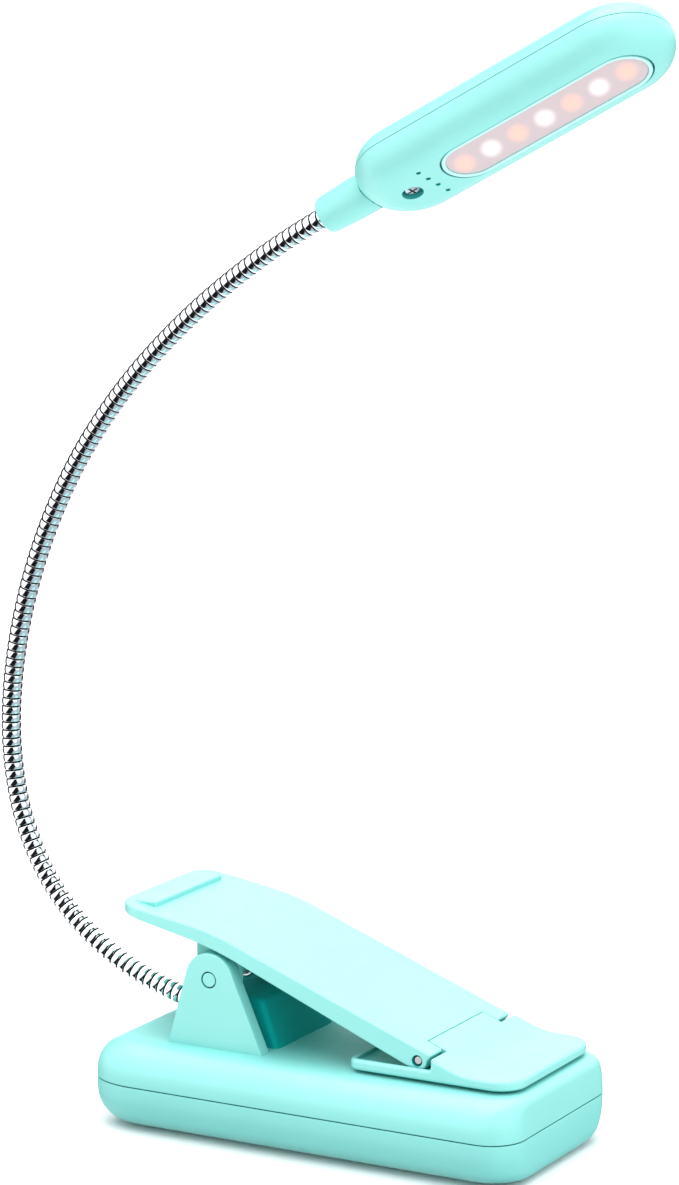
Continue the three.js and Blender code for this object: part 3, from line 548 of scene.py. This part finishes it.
# ---------------------------------------------------------------- lever and jaw
def lever_top(x):
    if x > BEND_X:
        return BEND_TOP + TOP_SLOPE * (x - BEND_X)
    return LEVER_REAR_TOP + (x - LEVER_REAR) / (BEND_X - LEVER_REAR) * (BEND_TOP - LEVER_REAR_TOP)


def curve(p0, p1, p2, steps=10):
    """A quadratic curve from p0 to p2, without its first point."""
    points = []
    for i in range(1, steps + 1):
        t = i / steps
        weights = ((1 - t) ** 2, 2 * t * (1 - t), t * t)
        points.append(tuple(sum(w * p[axis] for w, p in zip(weights, (p0, p1, p2))) for axis in (0, 1)))
    return points


def lever_outline():
    """The lever from the side: round its rear end, along its top, about the jaw's pin, back underneath."""
    under = math.atan(UNDER_SLOPE) - math.pi / 2
    points = [(LEVER_REAR, LEVER_REAR_TOP - 2.3), (LEVER_REAR, LEVER_REAR_TOP)]
    points.append((BEND_X - 7, lever_top(BEND_X - 7)))
    points += curve(points[-1], (BEND_X, BEND_TOP), (BEND_X + 7, lever_top(BEND_X + 7)))
    points += [(34.4, lever_top(34.4)), (34.7, JAW_Z + 1.3)]
    points += arc(JAW_X, JAW_Z, 2.5, 0.05, under, 14)
    points += [(BEND_X + 6, BEND_UNDER + 6 * UNDER_SLOPE)]
    points += curve(points[-1], (BEND_X, BEND_UNDER), (BEND_X - 7, BEND_UNDER + 1.55))
    return points


def lever_painted_shade(centre, normal):
    """Painted shade in the jaw pin's hole."""
    from_pin = math.hypot(centre.x - JAW_X, centre.z - JAW_Z)
    return 1 if from_pin < JAW_PIN_HOLE + 0.02 and abs(normal.y) < 0.5 else 0


def build_lever():
    """The bent plate, hollowed from below, with its lugs, cheeks and thumb ridge."""
    lever = prism_y(lever_outline(), -LEVER_HALF, LEVER_HALF, "lever")
    plan = rounded(LEVER_REAR, 60, -LEVER_HALF, LEVER_HALF, LEVER_CORNER, 10)
    combine(lever, [prism_z(plan, 10, 70)], "INTERSECT")
    bevel(lever, 1.0, 4)
    pocket = [(-45, lever_top(-45) - 2.4), (-27.5, lever_top(-27.5) - 2.2), (27, lever_top(27) - 2.2),
              (27, 18), (-27.5, 41), (-45, 46)]
    wall = LEVER_HALF - 1.8
    tools = [prism_y(pocket, -wall, wall), box(JAW_X - 0.7, 40, -LUG_GAP, LUG_GAP, 10, 40),
             prism_y(circle(JAW_X, JAW_Z, 2.3), -LUG_GAP, LUG_GAP),
             box(JAW_X - 2.5, JAW_X, -LUG_GAP, LUG_GAP, 10, JAW_Z - 0.4),
             prism_y(circle(JAW_X, JAW_Z, JAW_PIN_HOLE, 32), -22, 22)]
    combine(lever, tools)
    bevel(lever, 0.22, 2, 50)
    hub = arc(PIVOT_X, PIVOT_Z, 6, math.pi, math.tau, 24)
    cheek = [(hub[0][0], lever_top(hub[0][0]) - 1)] + hub + [(hub[-1][0], lever_top(hub[-1][0]) - 1)]
    extras = [bevel(prism_y(cheek, y, y + 2.2), 0.3, 2) for y in (-16.6, 14.4)]
    ridge = [(-44, lever_top(-44) - 1), (-44, lever_top(-44) + 1.3), (-50.5, lever_top(-50.5) + 0.05),
             (-50.5, lever_top(-50.5) - 1)]
    extras.append(bevel(prism_y(ridge, -16, 16), 0.45, 3))
    join(lever, extras)
    paint_shading(lever, lever_painted_shade)
    place(lever, "lever", ["clip_lever"], MINT)


def wire(name, path, radius, sides=14):
    """A round wire along a path that never runs straight along Y."""
    rings = []
    for before, here, after in zip([path[0]] + path, path, path[1:] + [path[-1]]):
        ahead = (Vector(after) - Vector(before)).normalized()
        out = ahead.cross(Vector((0, 1, 0))).normalized()
        side = out.cross(ahead)
        rings.append([Vector(here) + radius * (math.cos(a) * out + math.sin(a) * side)
                      for a in (i / sides * math.tau for i in range(sides))])
    return loft(name, rings)


def build_spring():
    """The coil with its lower and upper arms, as one wire attached to no body."""
    turned, half_length, steps = 6.0 + (90 + SPRING_ARM) / 360, 4.2, 200
    path = [(-32.5, half_length, PIVOT_Z - SPRING_R - 0.9)]
    for step in range(steps + 1):
        a = (step / steps * turned - 0.25) * math.tau
        path.append((PIVOT_X + SPRING_R * math.cos(a), half_length * (1 - 2 * step / steps),
                     PIVOT_Z + SPRING_R * math.sin(a)))
    heading = math.radians(90 + SPRING_ARM)
    path.append((path[-1][0] + 15 * math.cos(heading), -half_length, path[-1][2] + 15 * math.sin(heading)))
    spring = place(wire("lever_spring_wire", path, 0.5), None, ["lever_spring"], STEEL, sharp=60)
    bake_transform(spring)


def build_jaw():
    """A shallow tray behind, a hump between the lever's lugs, and a nose in front, over the grip pad."""
    end_x = BEND_X + (23.3 - BEND_TOP) / TOP_SLOPE
    plate = [(JAW_REAR, JAW_UNDER), (JAW_FRONT, JAW_UNDER), (JAW_FRONT, 23.3), (end_x + 3.5, 23.3)]
    plate += curve(plate[-1], (end_x, 23.3), (end_x - 3.5, lever_top(end_x - 3.5)), 8)
    plate += [(35.4, lever_top(35.4)), (35.4, JAW_RIM), (JAW_REAR, JAW_RIM)]
    hump = [(36, 21.4), (36, lever_top(36)), (30.9, lever_top(30.9))]
    hump += arc(JAW_X, JAW_Z, 2, math.acos(-0.2), math.pi + 0.45, 12) + [(JAW_X - 0.5, 21.4)]
    jaw = prism_y(plate, -JAW_HALF, JAW_HALF, "jaw")
    front_plan = prism_z(rounded(-40, JAW_FRONT, -JAW_HALF, JAW_HALF, 7, 10), 10, 40)
    rear_plan = prism_z(rounded(JAW_REAR, 90, -JAW_HALF, JAW_HALF, 3, 8), 10, 40)
    combine(jaw, [front_plan, rear_plan], "INTERSECT")
    bevel(jaw, 0.8, 4)
    tray = JAW_HALF - 1
    combine(jaw, [box(JAW_REAR + 1.2, 35.4, -tray, tray, JAW_FLOOR, 26), box(0, 35.4, -tray, tray, 23.1, 26)])
    combine(jaw, [prism_y(hump, -HUMP_HALF, HUMP_HALF)], "UNION")
    bevel(jaw, 0.18, 2, 50)
    combine(jaw, [box(*PAD_RECESS, 10, JAW_UNDER + 0.9)])
    place(jaw, "jaw", ["clip_jaw"], MINT)


# ---------------------------------------------------------------- neck
def neck_places():
    """Points along the neck's centre line: (x, z, heading in radians) at a distance in millimetres."""
    x, z, heading = *NECK_START, math.radians(NECK_HEADING)
    starts = []
    for bend in NECK_BENDS:
        starts.append((x, z, heading, math.radians(bend)))
        turn = math.radians(bend)
        radius = LINK / turn
        x += radius * (math.sin(heading) - math.sin(heading - turn))
        z += radius * (math.cos(heading - turn) - math.cos(heading))
        heading -= turn
    starts.append((x, z, heading, 0))
    return starts


STARTS = neck_places()


def on_neck(distance):
    """The neck's centre line at a distance from the post, straight on past either end."""
    if distance <= 0:
        x, z, heading, _ = STARTS[0]
        return x + distance * math.cos(heading), z + distance * math.sin(heading), heading
    if distance >= 13 * LINK:
        x, z, heading, _ = STARTS[-1]
        rest = distance - 13 * LINK
        return x + rest * math.cos(heading), z + rest * math.sin(heading), heading
    index = int(distance // LINK)
    x, z, heading, turn = STARTS[index]
    share = distance / LINK - index
    radius = LINK / turn
    now = heading - share * turn
    x += radius * (math.sin(heading) - math.sin(now))
    z += radius * (math.cos(now) - math.cos(heading))
    return x, z, now


def ring_profile(phase):
    """Radius of the wound neck over one ring: a slightly domed strip with a narrow groove beside it."""
    edge = min(phase, 1 - phase)
    if edge < GROOVE:
        return NECK_R - 0.12 - 0.28 * (1 - edge / GROOVE)
    return NECK_R - 0.12 * ((0.5 - edge) / (0.5 - GROOVE)) ** 2


def neck_piece(name, first, last, sides=28):
    """The neck's rings between two distances, with painted shade in the grooves."""
    phases = [0.0, GROOVE / 2, GROOVE, 0.15, 0.3, 0.5, 0.7, 0.85, 1 - GROOVE, 1 - GROOVE / 2]
    rings = []
    for turn in range(round(first / RING_PITCH), round(last / RING_PITCH)):
        for phase in phases:
            rings.append(((turn + phase) * RING_PITCH, ring_profile(phase)))
    rings.append((round(last / RING_PITCH) * RING_PITCH, ring_profile(0)))
    loops = []
    for distance, radius in rings:
        x, z, heading = on_neck(distance)
        loop = []
        for i in range(sides):
            a = i / sides * math.tau
            out = radius * math.sin(a)
            loop.append((x - out * math.sin(heading), radius * math.cos(a), z + out * math.cos(heading)))
        loops.append(loop)
    piece = loft(name, loops)
    # Painted shade in the grooves.
    layer = piece.data.attributes.new("tone", "FLOAT", "FACE")
    in_groove = [min(low[1], high[1]) < NECK_R - 0.13 for low, high in zip(rings, rings[1:])]
    tones = [float(dark) for dark in in_groove for _ in range(sides)] + [1.0, 1.0]
    layer.data.foreach_set("value", tones)
    return piece


def build_neck():
    """One piece from mid-link to mid-link over each joint, following the neck's bent centre line; the pieces
    are attached to no body.
    """
    for joint in range(1, 13):
        first = -7.5 if joint == 1 else (joint - 0.5) * LINK
        last = 13 * LINK + 5.5 if joint == 12 else (joint + 0.5) * LINK
        piece = neck_piece(f"neck_{joint:02d}", first, last)
        nodes = [f"neck_link_{joint:02d}"] + (["neck_link_13"] if joint == 12 else [])
        place(piece, None, nodes, CHROME, sharp=70)
        ends = [on_neck((joint - 0.5) * LINK), on_neck((joint + 0.5) * LINK)]
        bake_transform(piece)


# ---------------------------------------------------------------- head
END_X, END_Z, HEAD_PITCH, _ = STARTS[-1]
HEAD_MATRIX = (
    Matrix.Translation(((END_X + COLLAR_L * math.cos(HEAD_PITCH)) * MM, 0,
                        (END_Z + COLLAR_L * math.sin(HEAD_PITCH) + LIFT) * MM))
    @ Matrix.Rotation(-HEAD_PITCH, 4, "Y") @ Matrix.Rotation(-math.radians(HEAD_ROLL), 4, "X"))


def stadium(x0, x1, half, steps=20):
    return rounded(x0, x1, -half, half, half - 0.01, steps)


def head_half(name, away):
    """One shell of the pill: lip, rim, then the fully round edge up to its flat face."""
    edge = HEAD_PARTING + away * 0.07

    def ring(z, inset=0.0):
        back = HEAD_T - math.sqrt(max(HEAD_T ** 2 - z ** 2, 0)) + inset
        return [(x, y, z) for x, y in stadium(back, HEAD_L - back, HEAD_W - back)]

    rings = [ring(edge + 0.6, 1.3), ring(edge, 1.3), ring(edge, 0.12), ring(edge + away * 0.04, 0.04),
             ring(edge + away * 0.12)]
    first = math.asin(rings[-1][0][2] / HEAD_T)
    steps = 16
    for step in range(1, steps + 1):
        rings.append(ring(HEAD_T * math.sin(first + (away * math.pi / 2 - first) * step / steps)))
    flat = HEAD_T + 0.7
    rings.append([(x, y, away * HEAD_T) for x, y in stadium(flat, HEAD_L - flat, HEAD_W - flat)])
    return loft(name, rings)


def head_painted_shade_and_glow(centre, normal):
    """Painted shade in the seam, the collar's hole, the screw's recess and the dots; painted light, pale, on
    the window's rim.
    """
    around = math.hypot(centre.y, centre.z)
    if abs(centre.z - HEAD_PARTING) < 0.08:
        return 0.25
    if centre.x < 3.5 and around < 5.5:
        return 1
    from_screw = math.hypot(centre.x - HEAD_SCREW_X, centre.y)
    if from_screw < HEAD_SCREW_HOLE + 0.02 and -6.6 < centre.z < 0:
        return 0.85
    if abs(centre.x - DOT_X) < DOT_R + 0.02 and -6.75 < centre.z < -5:
        return 1
    reach = max(WINDOW_X0 + WINDOW_W - centre.x, centre.x - WINDOW_X1 + WINDOW_W, 0)
    outside = math.hypot(reach, centre.y) - WINDOW_W
    return -1 if centre.z < -HEAD_T - 0.001 and 0 < outside < 1.02 else 0


def collar_painted_shade(centre, normal):
    """Painted shade where the collar has gone into the head's rounded end, and on a narrow band just before
    it.
    """
    grow = COLLAR_HOLE / COLLAR_R
    back = HEAD_T - math.sqrt(HEAD_T ** 2 - min(abs(centre.z) * grow, HEAD_T) ** 2)
    half = HEAD_W - back
    mouth = back + half - math.sqrt(half ** 2 - (centre.y * grow) ** 2)
    return 1 if centre.x > mouth - 0.5 else 0


def window_ring(outside, z):
    """The window's outline at a height, drawn this far outside its edge."""
    return [(x, y, z) for x, y in stadium(WINDOW_X0 - outside, WINDOW_X1 + outside, WINDOW_W + outside)]


def collar_hole():
    return loft("tool", [[(x, y, z) for y, z in circle(0, 0, COLLAR_HOLE)] for x in (-2, 3.3)])


def build_head():
    upper = head_half("head_upper", 1)
    combine(upper, [collar_hole(), prism_z(circle(BUTTON_X, 0, BUTTON_WELL), 3, 9)])
    bevel_rim(upper)
    paint_shading(upper, head_painted_shade_and_glow)
    place(upper, "head", ["head_upper_shell"], MINT, HEAD_MATRIX)

    lower = head_half("head_lower", -1)
    tools = [collar_hole(), prism_z(stadium(WINDOW_X0 - 1.5, WINDOW_X1 + 1.5, WINDOW_W + 1.07), -8, -5.2),
             prism_z(circle(HEAD_SCREW_X, 0, HEAD_SCREW_HOLE, 40), -8, -2.7)]
    tools += [prism_z(circle(DOT_X, (i - 1.5) * DOT_PITCH, DOT_R, 20), -8, -5.2) for i in range(4)]
    combine(lower, tools)
    bevel_rim(lower)
    # The window's raised rim, painted light, pale mint.
    section = [(0.02, -5.3), (0.02, -6.72), (0.14, -6.9), (0.5, -7.02), (0.86, -6.9), (1.0, -6.7),
               (1.0, -5.3)]
    rim = loft("rim", [window_ring(outside, z) for outside, z in section], closed=True)
    join(lower, [rim])
    paint_shading(lower, head_painted_shade_and_glow)
    place(lower, "head", ["head_lower_shell"], MINT, HEAD_MATRIX)

    section = [(0, -5.0), (0, -6.5), (-0.12, -6.62), (-0.4, -6.68), (-1.5, -6.7)]
    window = loft("window", [window_ring(outside, z) for outside, z in section])
    place(window, "head", ["diffuser_window"], WINDOW_WITH_PAINTED_GLOW, HEAD_MATRIX)

    rear = -COLLAR_L
    profile = [(rear, 2.85), (rear, 4.1), (rear + 0.1, 4.35), (rear + 0.35, 4.5), (rear + 0.8, 4.6)]
    profile.append((-4, COLLAR_R))
    profile += [(0.8 + 0.15 * step, COLLAR_R) for step in range(17)] + [(3.2, 2.85)]
    collar = lathe_x("collar", profile)
    paint_shading(collar, collar_painted_shade)
    place(collar, "head", ["head_collar"], MINT, HEAD_MATRIX)

    section = [(4.45, 4.5), (4.5, 6.9), (4.42, 7.2), (4.2, 7.38), (3.8, 7.46), (2.5, 7.38), (1.2, 7.33)]
    button = loft("button", [[(x, y, z) for x, y in circle(BUTTON_X, 0, r)] for r, z in section])
    place(button, "mode_button", ["mode_button"], MINT, HEAD_MATRIX)


def build_head_screw():
    """A round screw head with a cross slot, in the head's recess."""
    x0 = HEAD_SCREW_X
    section = [(2.15, -3.0), (2.15, -5.6), (1.95, -5.95), (1.5, -6.15), (0.7, -6.25)]
    screw = loft("head_screw_top", [[(x, y, z) for x, y in circle(x0, 0, r, 32)] for r, z in section])
    slots = [box(x0 - a, x0 + a, -b, b, -7, -5.2) for a, b in ((1.35, 0.26), (0.26, 1.35))]
    combine(screw, slots)
    place(screw, "head", ["head_screw"], STEEL, HEAD_MATRIX)


def bevel_rim(obj):
    """A small round on the edges that the holes were cut with."""
    modifier = obj.modifiers.new("bevel", "BEVEL")
    modifier.width = 0.15
    modifier.segments = 2
    modifier.limit_method = "ANGLE"
    modifier.angle_limit = math.radians(50)
    return baked(obj)


# ---------------------------------------------------------------- the frame's own pieces
def dress(names, surface):
    for name in names:
        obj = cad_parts[name]
        obj.data.materials.clear()
        obj.data.materials.append(surface)
        obj.data.shade_smooth()
        obj.data.set_sharp_from_angle(angle=math.radians(35))


def dress_frame():
    dress(["lever_pivot_pin"], MINT)
    dress(["base_grip_pad", "jaw_grip_pad"], RUBBER)
    dress(["jaw_pin", "neck_anchor", "usb_port"], STEEL)
    dress([f"base_screw_{i}" for i in range(1, 5)], STEEL)
    dress(["charge_board", "led_board"], BOARD)
    dress(["battery_cell"], WRAP)
    dress(["mode_switch"], BLACK)
    dress(["indicator_light_guide"], WINDOW_WITH_PAINTED_GLOW)
    dress([f"led_{i}" for i in range(1, 8, 2)], WARM)
    dress([f"led_{i}" for i in range(2, 8, 2)], WHITE)


# ---------------------------------------------------------------- studio
def sun(name, toward, energy, spread):
    """A wide soft light from a direction, even over the whole floor."""
    data = bpy.data.lights.new(name, "SUN")
    data.energy = energy
    data.angle = math.radians(spread)
    obj = bpy.data.objects.new(name, data)
    obj.rotation_euler = Vector(toward).to_track_quat("Z", "Y").to_euler()
    bpy.context.scene.collection.objects.link(obj)


def studio():
    floor = new_object("floor", [(-40, -40, 0), (40, -40, 0), (40, 40, 0), (-40, 40, 0)], [(0, 1, 2, 3)])
    floor.location.z = -0.0002
    pale = Surface("pale_floor", Roughness=0.9)
    seen = pale.tree.nodes.new("ShaderNodeLightPath").outputs["Is Camera Ray"]
    pale.colour(pale.mix(seen, (0.68, 0.68, 0.68), (0.95, 0.95, 0.95)))
    floor.data.materials.append(pale.material)
    floor.visible_glossy = False
    sun("key", (-0.05, -0.03, 0.99), 2.45, 70)
    sun("fill", (0.9, -0.3, 0.35), 0.9, 60)
    bpy.context.scene.world = surroundings()


def surroundings():
    """Even white light; shiny metal mirrors white to one side, grey-blue to the other and black between."""
    world = bpy.data.worlds.new("studio")
    world.use_nodes = True
    tree = world.node_tree
    direction = tree.nodes.new("ShaderNodeTexCoord").outputs["Generated"]

    def along(axis):
        node = tree.nodes.new("ShaderNodeVectorMath")
        node.operation = "DOT_PRODUCT"
        tree.links.new(direction, node.inputs[0])
        node.inputs[1].default_value = axis
        half = tree.nodes.new("ShaderNodeMath")
        half.operation = "MULTIPLY_ADD"
        tree.links.new(node.outputs["Value"], half.inputs[0])
        half.inputs[1].default_value = 0.5
        half.inputs[2].default_value = 0.5
        return half.outputs[0]

    def ramp(factor, stops):
        node = tree.nodes.new("ShaderNodeValToRGB")
        while len(node.color_ramp.elements) < len(stops):
            node.color_ramp.elements.new(0.5)
        for element, (position, colour) in zip(node.color_ramp.elements, stops):
            element.position = position
            element.color = (*colour, 1)
        tree.links.new(factor, node.inputs["Fac"])
        return node.outputs["Color"]

    def mixed(factor, a, b, blend="MIX"):
        node = tree.nodes.new("ShaderNodeMix")
        node.data_type = "RGBA"
        node.blend_type = blend
        for socket, value in ((node.inputs["Factor"], factor), (node.inputs["A"], a), (node.inputs["B"], b)):
            if isinstance(value, (tuple, float)):
                socket.default_value = value
            else:
                tree.links.new(value, socket)
        return node.outputs["Result"]

    black, white, slate = (0.01, 0.01, 0.012), (1.7, 1.7, 1.7), (0.52, 0.65, 0.7)
    ahead = along((0.477, -0.861, 0.177))
    across = along((-0.75, -0.28, 0.6))
    flags = ramp(across, [(0.22, slate), (0.31, black), (0.66, black), (0.73, white)])
    open_sky = ramp(across, [(0.1, slate), (0.3, white)])
    mirrored = mixed(ramp(ahead, [(0.48, (0, 0, 0)), (0.56, (1, 1, 1))]), open_sky, flags)
    height = along((0, 0, 1))
    low = ramp(height, [(0.24, (0, 0, 0)), (0.34, (1, 1, 1)), (0.5, (1, 1, 1)), (0.57, (0, 0, 0))])
    behind = ramp(ahead, [(0.24, (1, 1, 1)), (0.32, (0, 0, 0))])
    low_behind = mixed(behind, (0.0, 0.0, 0.0, 1), low)
    mirrored = mixed(low_behind, mirrored, (*black, 1))
    beside = along((-0.79, -0.44, 0.43))
    left_behind = mixed(ramp(ahead, [(0.27, (1, 1, 1)), (0.33, (0, 0, 0))]), (0.0, 0.0, 0.0, 1),
                        ramp(beside, [(0.66, (0, 0, 0)), (0.72, (1, 1, 1))]))
    mirrored = mixed(left_behind, mirrored, (*black, 1))
    rays = tree.nodes.new("ShaderNodeLightPath").outputs
    lighting = mixed(rays["Is Glossy Ray"], (0.78, 0.78, 0.78, 1), mirrored)
    background = tree.nodes["Background"]
    tree.links.new(mixed(rays["Is Camera Ray"], lighting, (1.0, 1.0, 1.0, 1)), background.inputs["Color"])
    background.inputs["Strength"].default_value = 1.0
    return world


def camera():
    data = bpy.data.cameras.new("camera")
    data.lens = 126.38
    data.sensor_width = 36
    data.clip_end = 100
    obj = bpy.data.objects.new("camera", data)
    obj.location = (0.4753, -0.8612, 0.3109)
    obj.rotation_euler = (math.radians(90 - 10.2), 0, math.radians(28.96))
    bpy.context.scene.collection.objects.link(obj)
    bpy.context.scene.camera = obj


build_base()
build_lever()
build_spring()
build_jaw()
build_neck()
build_head()
build_head_screw()
dress_frame()
studio()
camera()
bpy.context.scene.view_settings.view_transform = "Standard"
